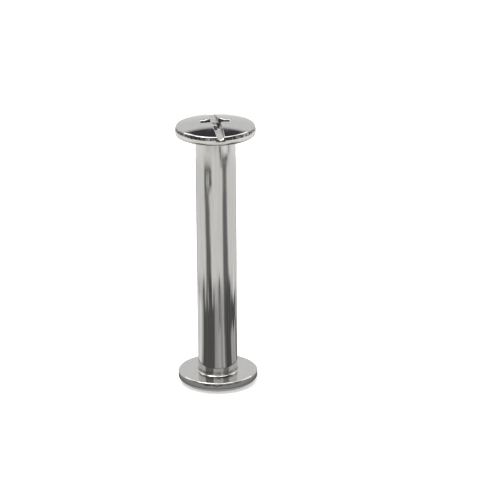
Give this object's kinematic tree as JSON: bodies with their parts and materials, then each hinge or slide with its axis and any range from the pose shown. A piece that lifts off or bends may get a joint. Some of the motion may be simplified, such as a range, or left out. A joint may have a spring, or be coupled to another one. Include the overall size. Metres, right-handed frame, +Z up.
{
  "type": "binding barrel screw",
  "caption": "Two-piece binding post: a tube with a flat blind head, closed by a domed screw with a slot and cross recess, to clamp drilled sheets.",
  "frame": {"origin": "centre of the outer face of the barrel's head, which the closed fastener stands on", "axes": "+Z up the common axis from the barrel's head to the screw's head, Y along the slot of the screw"},
  "size_m": [0.016, 0.016, 0.0552],
  "materials": {
    "nickel_plate": "polished"
  },
  "bodies": {
    "barrel": {"barrel": "nickel_plate"},
    "screw": {"screw": "nickel_plate"}
  },
  "joints": [
    {"name": "screw_lift", "type": "slide", "parent": "barrel", "child": "screw", "axis": [0, 0, 1], "range_m": [0, 0.02]}
  ]
}
